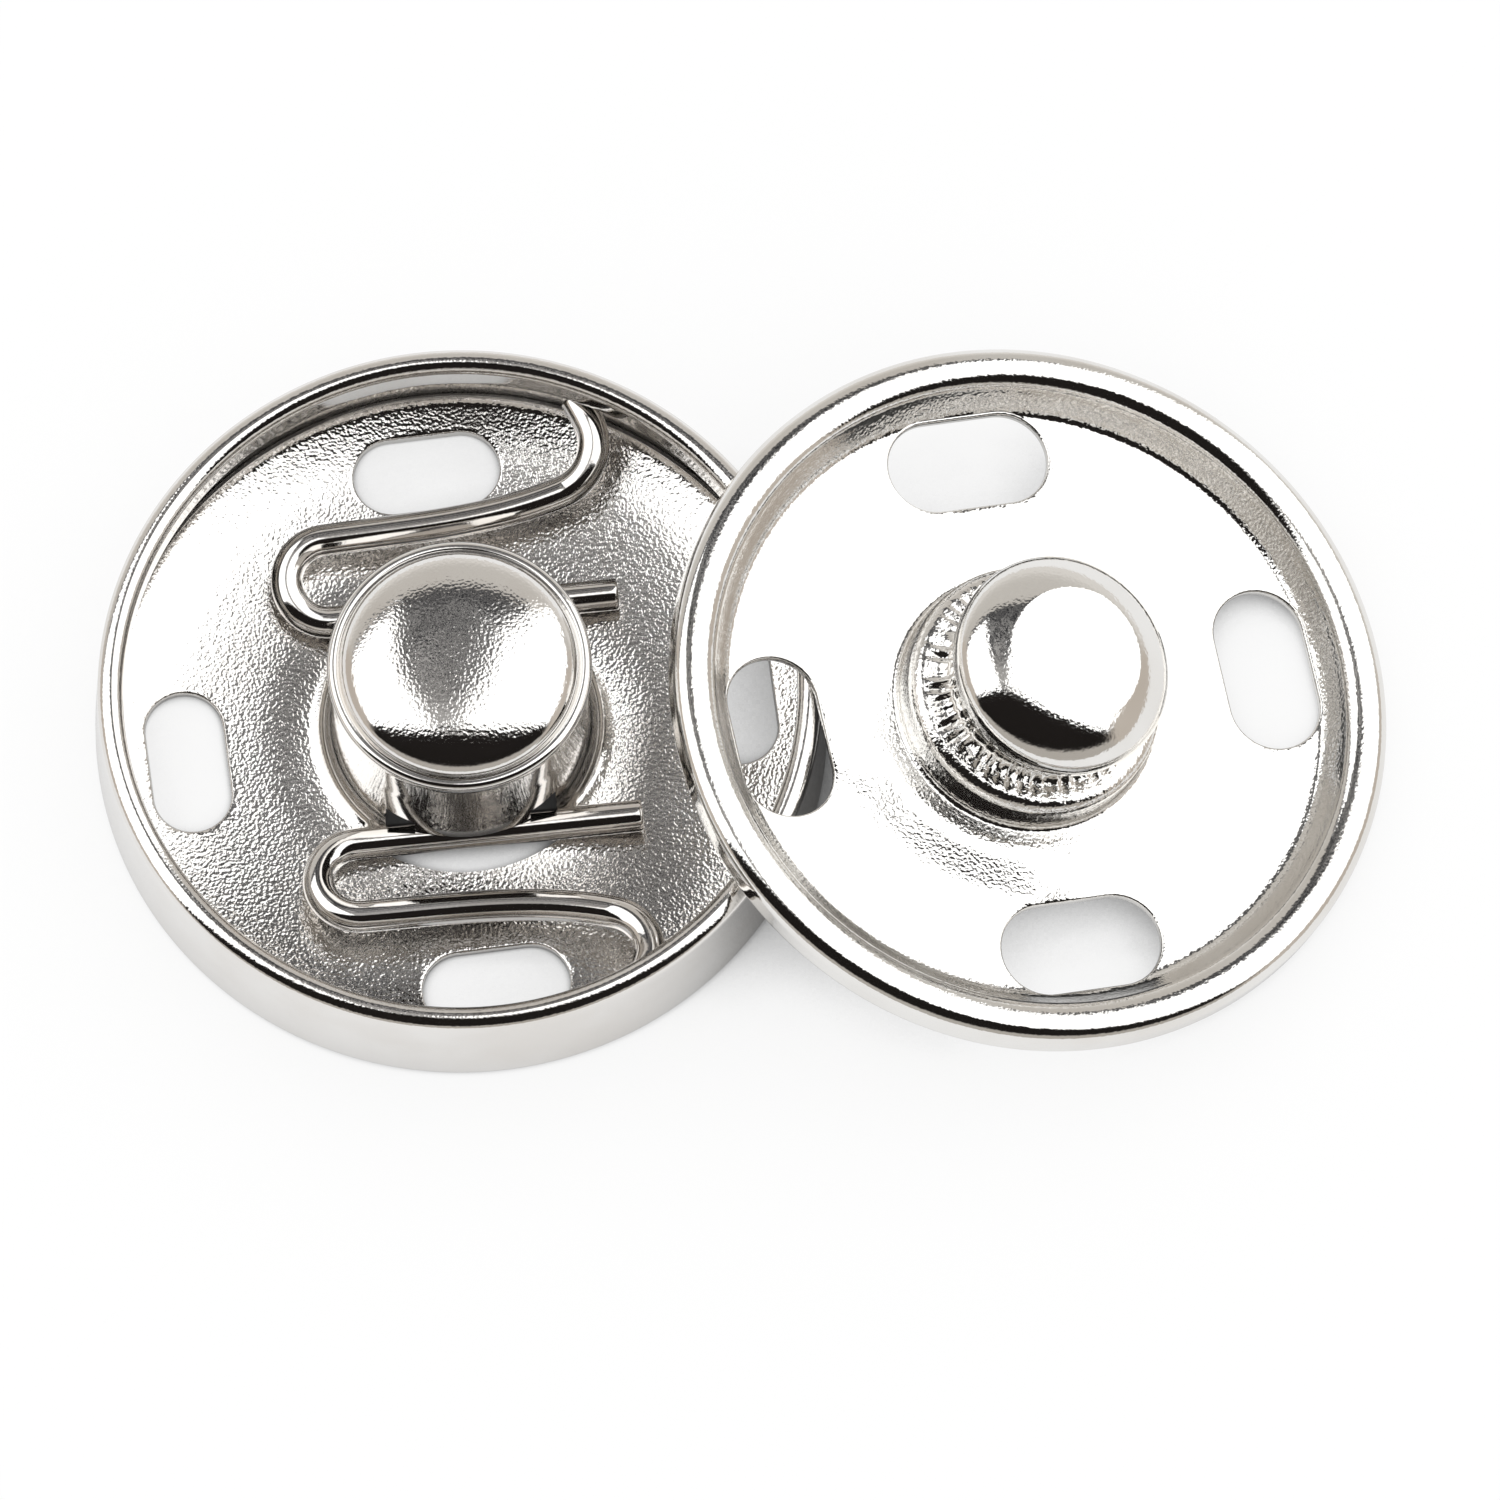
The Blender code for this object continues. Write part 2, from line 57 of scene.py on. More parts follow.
# Socket half
low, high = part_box("socket_disc")
SOCKET_X = (low.x + high.x) * 0.5 / MM
BASE_RADIUS = 10.46         # widest, just above the underside
BASE_CORNER = 0.46          # its lower outside corner
FLOOR_CORNER = 0.32         # between the floor and the inside of the wall
RIM_RADIUS = 10.33          # outside of the rolled rim
RIM_HEIGHT = 3.83
HEM_INNER = 9.60            # inside face of the hem
HEM_DEPTH = 1.18            # how far the hem hangs below the top of the rim
ROLL_ACROSS = 0.45          # outer shoulder of the rim, across
ROLL_DOWN = 0.32            # and down
CUP_FOOT = 4.42             # where the cup's flare meets the floor
CUP_WALL = 3.60
CUP_DRAFT = 0.07            # how much wider the wall is at its foot
CUP_LIP = 3.77              # outside of the cup's bead
CUP_BEAD = 0.19             # radius of the bead's section
CUP_LIP_HEIGHT = 5.40
CUP_TOP = 6.55
CROWN_POWER = 2.5           # 2 would be a round crown, more is flatter in the middle
FLARE_RADIUS = 0.70

# Sewing holes: circle of their middles, length, width, turn
SOCKET_HOLES = (7.87, 4.20, 2.22, 8.0)
STUD_HOLES = (7.35, 4.75, 2.65, 13.4)
HOLE_EDGE = 0.09            # rounding of a hole's two edges
HOLE_LIFT = 0.004           # how far the rounding runs past the sheet's faces
HOLE_REACH = 0.5            # how far a cutter stands out of the sheet

# Windows at the cup's foot, one on each side, with a higher notch at each end
WINDOW_HALF_WIDTH = 2.45
WINDOW_TOP = SHEET + 2.0 * (FIT + WIRE_RADIUS)
WINDOW_DEPTH = 0.9          # from the bore's wall towards the axis
NOTCH_INNER = 1.65
NOTCH_OUTER = 2.43
NOTCH_TOP = 1.90
NOTCH_INSET = 0.02          # keeps its faces clear of those that the window left
TUNNEL_LENGTH = 7.4         # of the round passage for each spring's leg
TUNNEL_RADIUS = WIRE_RADIUS + FIT - 0.01

# Wire springs
LEG_OFFSET = 3.39           # from the middle line
LEG_END = 4.86
LEG_Z = SHEET + FIT + WIRE_RADIUS
LOOP_X = -3.37
LOOP_RADIUS = 1.18
LOOP_Z = 1.28               # height at the end of the loop
RUN_Z = 1.55                # at the start of the bend
RIM_Z = 2.06                # and at its end, under the rim
RUN_START = 2.0             # heading of the wire as it leaves the loop
RUN_END = 18.0              # and as it enters the bend
BEND_X, BEND_Y = 3.22, 7.76
BEND_RADIUS = 1.39
BEND_END = 22.0             # how far round the bend goes
END_LENGTH = 0.8            # straight end after the bend

# Stud half
STUD_X = SOCKET_X + 16.02
STUD_Z = 2.4374
STUD_TILT = 13.9738
STUD_DISC_RADIUS = 10.50
STUD_RIM_HEIGHT = 1.40
STUD_RIM_INNER = 9.50
STUD_FLOOR_RADIUS = 8.68
RIM_TOP_CORNER = 0.48       # outer corners of the rim
RIM_LOW_CORNER = 0.44
STUD_FOOT = 3.73
FOOT_FILLET = 0.20
STEP_Z = 1.28               # centre of the step's rounding
STUD_NECK = 2.66
NECK_FILLET = 0.42
NECK_Z = 2.14               # centre of the neck's fillet
STUD_HEAD = 3.23
HEAD_Z = 3.60               # height of the head's widest line
STUD_TOP = 4.80
STUD_FLAT = 1.93            # radius of the flat crown
CROWN_EDGE = 35.0           # degrees along the head's ellipse at which the crown ends
STUD_LEAN = 8.0
LEAN_FROM = 0.9             # height at which the lean starts
LEAN_FULL = 3.0             # and at which it is complete
LEAN_STEP = 0.02

# Pleats round the stud's neck
PLEAT_DEPTH = 0.045
PLEAT_Z, PLEAT_HIGH = 1.85, 0.30
PLEAT_RADIUS, PLEAT_WIDE = 2.95, 0.36

# How finely the pieces are divided
SOCKET_COLUMNS = 264
STUD_COLUMNS = 336
LONGEST_STEP = 0.18
CREASE = 32.0               # edges sharper than this stay crisp


# ---------------------------------------------------------------- curves and surfaces

def arc(cx, cz, radius, start, end, count):
    """Points on a circle: the centre plus the radius times the cosine and sine of an even run
    of angles."""
    a = np.radians(np.linspace(start, end, count + 1))
    return np.stack([cx + radius * np.cos(a), cz + radius * np.sin(a)], 1)


def heading(degrees):
    """A step of one millimetre in a direction: its cosine and sine."""
    return np.array([math.cos(math.radians(degrees)), math.sin(math.radians(degrees))])


def shoulder(r_top, z_top, r_side, z_side, count):
    """Outer part of an ellipse, from the flat crown's edge down to the upright side: one less the
    sine of the angle draws the radius in from the side, its cosine lifts the height."""
    start = math.radians(CROWN_EDGE)
    across = (r_side - r_top) / (1.0 - math.sin(start))
    down = (z_top - z_side) / math.cos(start)
    a = np.linspace(start, math.pi * 0.5, count + 1)
    return np.stack([r_side - across * (1.0 - np.sin(a)), z_side + down * np.cos(a)], 1)


def dome(top, r_side, z_side, count):
    """Crown of a drawn cup: the height above its edge falls with the square root of one less the
    radius share raised to a power. Points crowd towards the edge on a sine."""
    r = r_side * np.sin(np.radians(np.linspace(0.0, 90.0, count + 1)))
    share = np.clip(1.0 - (r / r_side) ** CROWN_POWER, 0.0, 1.0)
    return np.stack([r, z_side + (top - z_side) * np.sqrt(share)], 1)


def refined(profile, longest):
    """The same line with points added wherever two are further apart than the longest step:
    radius and height are read off linearly along its length."""
    step = np.linalg.norm(np.diff(profile, axis=0), axis=1)
    keep = np.concatenate([[True], step > 1e-6])
    profile = profile[keep]
    step = np.linalg.norm(np.diff(profile, axis=0), axis=1)
    length = np.concatenate([[0.0], np.cumsum(step)])
    extra = np.arange(longest, length[-1], longest)
    near = np.abs(extra[:, None] - length[None, :]).min(1)
    at = np.sort(np.concatenate([length, extra[near > longest * 0.45]]))
    return np.stack([np.interp(at, length, profile[:, 0]), np.interp(at, length, profile[:, 1])], 1)


def turned(profile, count):
    """Rings of a turned form: each profile point's radius times the cosine and sine of the angle,
    at its own height. The first and last points are on the axis and come back as poles."""
    angle = np.linspace(0.0, 2.0 * np.pi, count, endpoint=False)
    r, z = profile[1:-1, 0][:, None], profile[1:-1, 1][:, None]
    rings = np.stack([r * np.cos(angle), r * np.sin(angle), z + 0.0 * angle], -1)
    first = np.array([0.0, 0.0, profile[0, 1]])
    last = np.array([0.0, 0.0, profile[-1, 1]])
    return rings, first, last


def closed(rings, first, last):
    """Points and faces of a grid of rings: each ring point, its neighbour and the two on the next
    ring make a face, and a fan to a pole closes each end."""
    n, m = rings.shape[:2]
    points = np.concatenate([rings.reshape(-1, 3), first[None], last[None]]) * MM
    i, j = np.meshgrid(np.arange(n - 1), np.arange(m), indexing="ij")
    k = (j + 1) % m
    quads = np.stack([i * m + j, (i + 1) * m + j, (i + 1) * m + k, i * m + k], -1).reshape(-1, 4)
    j = np.arange(m)
    k = (j + 1) % m
    top = np.stack([np.full(m, n * m), j, k], 1)
    end = np.stack([(n - 1) * m + j, np.full(m, n * m + 1), (n - 1) * m + k], 1)
    return points, quads, np.concatenate([top, end])


def mesh_of(name, *surfaces):
    """One mesh of closed surfaces: the faces of each are shifted by the points before it."""
    points, faces, base = [], [], 0
    for own_points, quads, fans in surfaces:
        points.append(own_points)
        faces += (quads + base).tolist() + (fans + base).tolist()
        base += len(own_points)
    mesh = bpy.data.meshes.new(name)
    mesh.from_pydata(np.concatenate(points).tolist(), [], faces)
    mesh.update()
    return mesh


def place(mesh, move):
    """Every point of the mesh through one function of an array of millimetres."""
    co = np.zeros(len(mesh.vertices) * 3)
    mesh.vertices.foreach_get("co", co)
    moved = move(co.reshape(-1, 3) / MM) * MM
    mesh.vertices.foreach_set("co", moved.ravel())
    mesh.update()


def rotated(points, degrees):
    """Points turned about the upright axis: x and y through the angle's cosine and sine."""
    a = math.radians(degrees)
    x, y = points[..., 0], points[..., 1]
    out = points.copy()
    out[..., 0] = x * math.cos(a) - y * math.sin(a)
    out[..., 1] = x * math.sin(a) + y * math.cos(a)
    return out


def add(name, mesh):
    obj = bpy.data.objects.new(name, mesh)
    bpy.context.scene.collection.objects.link(obj)
    return obj


def carved(name, mesh, cutters):
    """The mesh with each cutter taken out of it, as one plain mesh."""
    body = add(name + "_blank", mesh)
    tools = []
    for number, cutter in enumerate(cutters):
        tool = add(f"{name}_tool_{number}", cutter)
        tools.append(tool)
        cut = body.modifiers.new(tool.name, "BOOLEAN")
        cut.operation = "DIFFERENCE"
        cut.solver = "EXACT"
        cut.object = tool
    bpy.context.view_layer.update()
    depsgraph = bpy.context.evaluated_depsgraph_get()
    result = bpy.data.meshes.new_from_object(body.evaluated_get(depsgraph))
    result.name = name
    for obj in [body] + tools:
        bpy.data.objects.remove(obj, do_unlink=True)
    return result


def finish_piece(name, mesh, material, node):
    """The finished piece: smooth faces, crisp edges where it was cut, and its own nickel."""
    mesh.materials.clear()
    mesh.materials.append(material)
    mesh.shade_smooth()
    mesh.set_sharp_from_angle(angle=math.radians(CREASE))
    obj = add(name, mesh)
    even = obj.modifiers.new("even_shading", "WEIGHTED_NORMAL")
    even.keep_sharp = True
    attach(obj, "root")
    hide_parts(node)


# ---------------------------------------------------------------- sewing holes and windows

def hole_cutters(radius, length, width, angle):
    """Four slots with round ends. Each outline is a ring of end radius plus an offset that grows
    on a quarter circle towards both faces of the sheet, so that the cut leaves rolled edges."""
    end = width * 0.5
    straight = length * 0.5 - end
    half = 33
    a = np.radians(np.concatenate([np.linspace(0.0, 180.0, half), np.linspace(180.0, 360.0, half)]))
    centre = np.concatenate([np.full(half, straight), np.full(half, -straight)])
    q = np.radians(np.linspace(90.0, 0.0, 7))
    top_z = SHEET - HOLE_EDGE + (HOLE_EDGE + HOLE_LIFT) * np.sin(q)
    low_z = HOLE_EDGE - (HOLE_EDGE + HOLE_LIFT) * np.sin(q[::-1])
    z = np.concatenate([[SHEET + HOLE_REACH], top_z, low_z, [-HOLE_REACH]])
    spread = HOLE_EDGE * (1.0 - np.cos(q))
    offset = np.concatenate([[spread[0]], spread, spread[::-1], [spread[0]]])
    size = end + offset[:, None]
    rings = np.stack([
        radius + size * np.cos(a), centre + size * np.sin(a), z[:, None] + 0.0 * a], -1)
    slots = []
    for turn in range(4):
        ring = rotated(rings, angle + 90.0 * turn)
        middle = rotated(np.array([radius, 0.0, 0.0]), angle + 90.0 * turn)
        slots.append(closed(ring, middle + [0, 0, SHEET + HOLE_REACH], middle + [0, 0, -HOLE_REACH]))
    return mesh_of("sewing_holes", *slots)


def prism(outline, low_z, high_z):
    """A flat outline carried straight up, closed by fans to its middle."""
    ring = np.concatenate([outline, np.zeros((len(outline), 1))], 1)
    rings = np.stack([ring + [0, 0, high_z], ring + [0, 0, low_z]])
    middle = np.append(outline.mean(0), 0.0)
    return closed(rings, middle + [0, 0, high_z], middle + [0, 0, low_z])


def window_outline(inner, outer, reach, depth):
    """Crescent between a circle round the axis and a straight line, from one distance along
    the window to another."""
    start = math.degrees(math.acos(outer / reach))
    stop = math.degrees(math.acos(inner / reach))
    rim = arc(0.0, 0.0, reach, start, stop, 24)
    return np.concatenate([rim, [[inner, depth], [outer, depth]]])


def window_cutters(inner, outer, top, inset=0.0):
    """The same window on both sides of the cup, and its mirror image where it has two ends."""
    reach = CUP_FOOT - 0.04 - inset
    depth = CUP_WALL - SHEET - WINDOW_DEPTH + inset
    below = -1.0
    outline = window_outline(inner, outer, reach, depth)
    windows = []
    for side in (0.0, 180.0):
        windows.append(prism(rotated(outline, SPRING_ANGLE + side), below, top))
        if inner > 0.0:
            mirrored = (outline * [-1.0, 1.0])[::-1]
            windows.append(prism(rotated(mirrored, SPRING_ANGLE + side), below, top))
    return mesh_of("windows", *windows)


def tunnel_cutters():
    """A round bar along each leg: circles square to X, carried from end to end."""
    a = np.linspace(0.0, 2.0 * np.pi, 48, endpoint=False)
    half = 0.5 * TUNNEL_LENGTH
    bars = []
    for side in (1.0, -1.0):
        x = np.array([-half, half])[:, None]
        y = side * LEG_OFFSET + TUNNEL_RADIUS * np.cos(a)
        z = LEG_Z - TUNNEL_RADIUS * np.sin(a)
        rings = np.stack([x + 0.0 * a, y + 0.0 * x, z + 0.0 * x], -1)
        ends = np.array([[-half, side * LEG_OFFSET, LEG_Z], [half, side * LEG_OFFSET, LEG_Z]])
        ends = rotated(ends, SPRING_ANGLE)
        bars.append(closed(rotated(rings, SPRING_ANGLE), ends[0], ends[1]))
    return mesh_of("tunnels", *bars)


# ---------------------------------------------------------------- profiles

def rolled_rim():
    """Section of the rim's roll: a half circle over the hem's width. Its outer quarter is
    flattened to an ellipse that is drawn in by one less the sine and lowered by one less the
    cosine of the same angle."""
    roll = (RIM_RADIUS - HEM_INNER) * 0.5
    line = arc(HEM_INNER + roll, RIM_HEIGHT - roll, roll, 180.0, 0.0, 36)
    outside = line[:, 0] > HEM_INNER + roll
    a = np.arccos(np.clip((line[outside, 1] - RIM_HEIGHT + roll) / roll, -1.0, 1.0))
    line[outside, 0] = RIM_RADIUS - ROLL_ACROSS * (1.0 - np.sin(a))
    line[outside, 1] = RIM_HEIGHT - ROLL_DOWN * (1.0 - np.cos(a))
    return line


def socket_profile():
    """Half section of the socket half as arcs and (radius, height) points: crown, bead and flare
    of the cup, the floor, the wall, its hem folded in and down, and back along the underside."""
    crown = dome(CUP_TOP, CUP_LIP - 1.9 * CUP_BEAD, CUP_LIP_HEIGHT + 0.10, 48)
    lip = arc(CUP_LIP - CUP_BEAD, CUP_LIP_HEIGHT, CUP_BEAD, 118.0, -60.0, 18)
    wall = np.array([
        [CUP_WALL, CUP_LIP_HEIGHT - 0.6], [CUP_WALL + 0.02, 3.4], [CUP_WALL + CUP_DRAFT, 2.4]])
    foot = arc(CUP_FOOT, SHEET + FLARE_RADIUS, FLARE_RADIUS, 172.0, 270.0, 24)
    corner = arc(
        BASE_RADIUS - SHEET - FLOOR_CORNER, SHEET + FLOOR_CORNER, FLOOR_CORNER, -90.0, 0.0, 10)
    fold_radius = (RIM_RADIUS - HEM_INNER - 2.0 * SHEET) * 0.5
    fold = arc(
        RIM_RADIUS - SHEET - fold_radius, RIM_HEIGHT - SHEET - fold_radius, fold_radius,
        0.0, 180.0, 8)
    hem_edge = arc(
        HEM_INNER + SHEET * 0.5, RIM_HEIGHT - HEM_DEPTH + SHEET * 0.5, SHEET * 0.5, 0.0, -180.0, 10)
    outer = np.concatenate([
        [[BASE_RADIUS - 0.01, BASE_CORNER + 0.55]],
        arc(BASE_RADIUS - BASE_CORNER, BASE_CORNER, BASE_CORNER, 0.0, -90.0, 12)])
    mouth = arc(CUP_FOOT, FLARE_RADIUS + SHEET, FLARE_RADIUS + SHEET, 270.0, 172.0, 20)
    bore = wall[::-1] - [SHEET, 0.0]
    ceiling = dome(CUP_TOP - SHEET, CUP_WALL - SHEET, CUP_LIP_HEIGHT - 0.35, 30)[::-1]
    return np.concatenate([
        crown, lip, wall, foot, corner, fold, hem_edge, rolled_rim(), outer, mouth, bore, ceiling])


def stud_profile():
    """Half section of the stud half as arcs and (radius, height) points: crown, head, neck and
    foot of the drawn stud, the floor, the solid rim bead, and back along the underside into the
    hollow."""
    crown = np.array([[0.0, STUD_TOP], [STUD_FLAT * 0.55, STUD_TOP - 0.01]])
    head = shoulder(STUD_FLAT, STUD_TOP - 0.04, STUD_HEAD, HEAD_Z, 24)
    under = np.array([[STUD_HEAD - 0.06, HEAD_Z - 0.45], [STUD_HEAD - 0.24, HEAD_Z - 0.83]])
    neck = arc(STUD_NECK + NECK_FILLET, NECK_Z, NECK_FILLET, 162.0, 262.0, 16)
    step = arc(STUD_FOOT - NECK_FILLET, STEP_Z, NECK_FILLET, 80.0, 8.0, 12)
    foot = np.concatenate([
        [[STUD_FOOT, 0.95]],
        arc(STUD_FOOT + 0.22, SHEET + FOOT_FILLET, FOOT_FILLET, 180.0, 270.0, 10)])
    slope = np.array([
        [STUD_FLOOR_RADIUS, SHEET],
        [STUD_FLOOR_RADIUS + 0.10, SHEET + 0.05],
        [STUD_FLOOR_RADIUS + 0.22, SHEET + 0.16],
        [STUD_FLOOR_RADIUS + 0.50, SHEET + 0.58],
        [STUD_RIM_INNER - 0.20, STUD_RIM_HEIGHT - 0.26],
        [STUD_RIM_INNER - 0.06, STUD_RIM_HEIGHT - 0.11],
        [STUD_RIM_INNER + 0.16, STUD_RIM_HEIGHT - 0.03],
    ])
    bead = np.concatenate([
        [[STUD_RIM_INNER + 0.42, STUD_RIM_HEIGHT]],
        arc(STUD_DISC_RADIUS - RIM_TOP_CORNER, STUD_RIM_HEIGHT * 0.5 + 0.18, RIM_TOP_CORNER,
            75.0, 0.0, 14),
        arc(STUD_DISC_RADIUS - RIM_LOW_CORNER, RIM_LOW_CORNER, RIM_LOW_CORNER, 0.0, -90.0, 12),
    ])
    mouth = arc(STUD_FOOT + 0.22, 0.52, 0.52, 270.0, 180.0, 12)
    hollow = np.concatenate([
        [[STUD_FOOT - SHEET + 0.02, 0.95]],
        arc(STUD_FOOT - 0.48, 1.16, 0.18, 10.0, 85.0, 6),
        arc(STUD_NECK + NECK_FILLET, NECK_Z, NECK_FILLET + SHEET, 258.0, 166.0, 12),
        [[STUD_HEAD - 0.26 - SHEET, HEAD_Z - 0.71], [STUD_HEAD - 0.07 - SHEET, HEAD_Z - 0.41]],
        shoulder(STUD_FLAT - 0.06, STUD_TOP - 0.06 - SHEET, STUD_HEAD - SHEET, HEAD_Z, 14)[::-1],
        [[STUD_FLAT * 0.55, STUD_TOP - SHEET - 0.01], [0.0, STUD_TOP - SHEET]],
    ])
    return np.concatenate([crown, head, under, neck, step, foot, slope, bead, mouth, hollow])


def smoothstep(x):
    """Three times the square less twice the cube, held between 0 and 1."""
    x = np.clip(x, 0.0, 1.0)
    return x * x * (3.0 - 2.0 * x)


def leaning(points):
    """The drawn stud bent towards +X: the lean angle grows with height on a smooth step, and the
    middle line is the running sum of its sine and cosine."""
    height = np.arange(LEAN_FROM, STUD_TOP + LEAN_STEP, LEAN_STEP)
    share = smoothstep((height - LEAN_FROM) / (LEAN_FULL - LEAN_FROM))
    angle = math.radians(STUD_LEAN) * share
    x_mid = np.concatenate([[0.0], np.cumsum(np.sin(angle[:-1]) * LEAN_STEP)])
    z_mid = LEAN_FROM + np.concatenate([[0.0], np.cumsum(np.cos(angle[:-1]) * LEAN_STEP)])
    x, y, z = points.T
    bent = (z > LEAN_FROM) & (np.hypot(x, y) < STUD_FOOT + 0.3)
    a = np.interp(z, height, angle)
    out = points.copy()
    out[:, 0] = np.where(bent, np.interp(z, height, x_mid) + x * np.cos(a), x)
    out[:, 2] = np.where(bent, np.interp(z, height, z_mid) - x * np.sin(a), z)
    return out


def seated(points):
    """The stud half tilted about Y and set on its right-hand edge."""
    a = math.radians(STUD_TILT)
    x, y, z = points.T
    return np.stack([
        x * math.cos(a) + z * math.sin(a) + STUD_X, y, z * math.cos(a) - x * math.sin(a) + STUD_Z], 1)


def pleated(rings):
    """Small pleats round the neck and step, where the sheet was drawn in: radius and height swing
    by a sum of waves round the axis, weighed by a bell over height and radius."""
    seeds = np.random.default_rng(7)
    angle = np.linspace(0.0, 2.0 * np.pi, rings.shape[1], endpoint=False)
    waves = np.arange(38, 62, 3)
    phase = seeds.uniform(0.0, 2.0 * np.pi, len(waves))
    size = seeds.uniform(0.4, 1.0, len(waves))
    swing = (size[:, None] * np.cos(waves[:, None] * angle + phase[:, None])).sum(0)
    swing = swing / size.sum() * 2.2
    radius = np.hypot(rings[..., 0], rings[..., 1])
    off_z = (rings[..., 2] - PLEAT_Z) / PLEAT_HIGH
    off_r = (radius - PLEAT_RADIUS) / PLEAT_WIDE
    bell = np.exp(-off_z ** 2 - off_r ** 2) * (radius > STUD_NECK - 0.12)
    scale = 1.0 + PLEAT_DEPTH * bell * swing / np.maximum(radius, 0.1)
    out = rings.copy()
    out[..., 0] *= scale
    out[..., 1] *= scale
    out[..., 2] += PLEAT_DEPTH * bell * swing
    return out


# ---------------------------------------------------------------- wire springs

def spring_path(side):
    """Centre line of one wire: a straight leg, a half circle back, a cubic run between two
    headings, and a bend that leads under the rim. Heights rise smoothly from the leg to the rim."""
    leg = np.array([[LEG_END, LEG_OFFSET, LEG_Z], [LOOP_X + 1.2, LEG_OFFSET, LEG_Z]])
    loop = arc(LOOP_X, LEG_OFFSET + LOOP_RADIUS, LOOP_RADIUS, 270.0, 90.0 + RUN_START, 96)
    rise = LEG_Z + (LOOP_Z - LEG_Z) * smoothstep(np.linspace(0.0, 1.0, len(loop)))
    loop = np.column_stack([loop, rise])
    bend = arc(BEND_X, BEND_Y, BEND_RADIUS, RUN_END - 90.0, BEND_END, 64)
    bend = np.column_stack([bend, np.linspace(RUN_Z, RIM_Z, len(bend))])
    p0, p1 = loop[-1, :2], bend[0, :2]
    span = np.linalg.norm(p1 - p0)
    d0, d1 = heading(RUN_START) * span, heading(RUN_END) * span
    t = np.linspace(0.0, 1.0, 82)[1:-1, None]
    run = (
        (2 * t ** 3 - 3 * t ** 2 + 1) * p0 + (3 * t ** 2 - 2 * t ** 3) * p1
        + (t ** 3 - 2 * t ** 2 + t) * d0 + (t ** 3 - t ** 2) * d1)
    run = np.column_stack([run, LOOP_Z + (RUN_Z - LOOP_Z) * t])
    tail = bend[-1] + END_LENGTH * np.append(heading(BEND_END + 90.0), 0.0)
    path = np.concatenate([leg, loop, run, bend, tail[None]])
    path[:, 1] *= side
    return rotated(path, SPRING_ANGLE)


def spring_rings(side):
    """A circle carried along the wire's path, square to it; its radius eases in over the last
    tenth of a millimetre at the cut ends, and the far end is pressed flat to the dish's wall."""
    path = spring_path(side)
    length = np.concatenate([[0.0], np.cumsum(np.linalg.norm(np.diff(path, axis=0), axis=1))])
    total = length[-1]
    near = np.array([0.0, 0.012, 0.035, 0.07, 0.12])
    full = [0.87, 0.925, 0.965, 0.99, 1.0]
    at = np.concatenate([near, np.arange(0.22, total - 0.2, 0.1), total - near[::-1]])
    centre = np.stack([np.interp(at, length, path[:, k]) for k in range(3)], 1)
    smooth = centre.copy()
    smooth[1:-1] = centre[1:-1] * 0.5 + (centre[:-2] + centre[2:]) * 0.25
    smooth[:6], smooth[-6:] = centre[:6], centre[-6:]
    tangent = np.gradient(smooth, at, axis=0)
    tangent /= np.linalg.norm(tangent, axis=1)[:, None]
    beside = np.cross(tangent, [0.0, 0.0, 1.0])
    beside /= np.linalg.norm(beside, axis=1)[:, None]
    above = np.cross(beside, tangent)
    radius = WIRE_RADIUS * np.interp(np.minimum(at, total - at), near, full)
    a = np.linspace(0.0, 2.0 * np.pi, 40, endpoint=False)
    rings = (
        smooth[:, None] + radius[:, None, None]
        * (np.cos(a)[None, :, None] * beside[:, None] + np.sin(a)[None, :, None] * above[:, None]))
    wall = BASE_RADIUS - SHEET - FIT
    both = np.concatenate([rings.reshape(-1, 3), smooth[:1], smooth[-1:]])
    reach = np.hypot(both[:, 0], both[:, 1])
    both[:, :2] *= np.minimum(1.0, wall / reach)[:, None]
    return both[:-2].reshape(rings.shape), both[-2], both[-1]


# ---------------------------------------------------------------- nickel

class Nodes:
    """Short calls for the nodes of one material or world."""

    def __init__(self, tree):
        self.tree = tree
        tree.nodes.clear()

    def new(self, kind, **values):
        node = self.tree.nodes.new(kind)
        for key, value in values.items():
            setattr(node, key, value)
        return node

    def put(self, value, socket):
        if isinstance(value, bpy.types.NodeSocket):
            self.tree.links.new(value, socket)
        else:
            socket.default_value = value

    def math(self, operation, a, b=0.0):
        node = self.new("ShaderNodeMath", operation=operation)
        self.put(a, node.inputs[0])
        self.put(b, node.inputs[1])
        return node.outputs[0]

    def ease(self, value, low, high, start=0.0, end=1.0):
        """Smooth step from start to end as the value goes from low to high."""
        node = self.new("ShaderNodeMapRange", interpolation_type="SMOOTHSTEP")
        for number, item in enumerate((value, low, high, start, end)):
            self.put(item, node.inputs[number])
        return node.outputs[0]

    def mix(self, factor, a, b):
        """From colour a to colour b. A colour is a socket or three numbers."""
        node = self.new("ShaderNodeMix", data_type="RGBA")
        self.put(factor, node.inputs[0])
        for color, socket in ((a, node.inputs[6]), (b, node.inputs[7])):
            self.put(color if isinstance(color, bpy.types.NodeSocket) else (*color, 1.0), socket)
        return node.outputs[2]

    def noise(self, vector, scale, detail, roughness=0.5):
        node = self.new("ShaderNodeTexNoise")
        self.put(vector, node.inputs["Vector"])
        node.inputs["Scale"].default_value = scale
        node.inputs["Detail"].default_value = detail
        node.inputs["Roughness"].default_value = roughness
        return node.outputs["Fac"]

    def split(self, vector):
        node = self.new("ShaderNodeSeparateXYZ")
        self.put(vector, node.inputs[0])
        return node.outputs


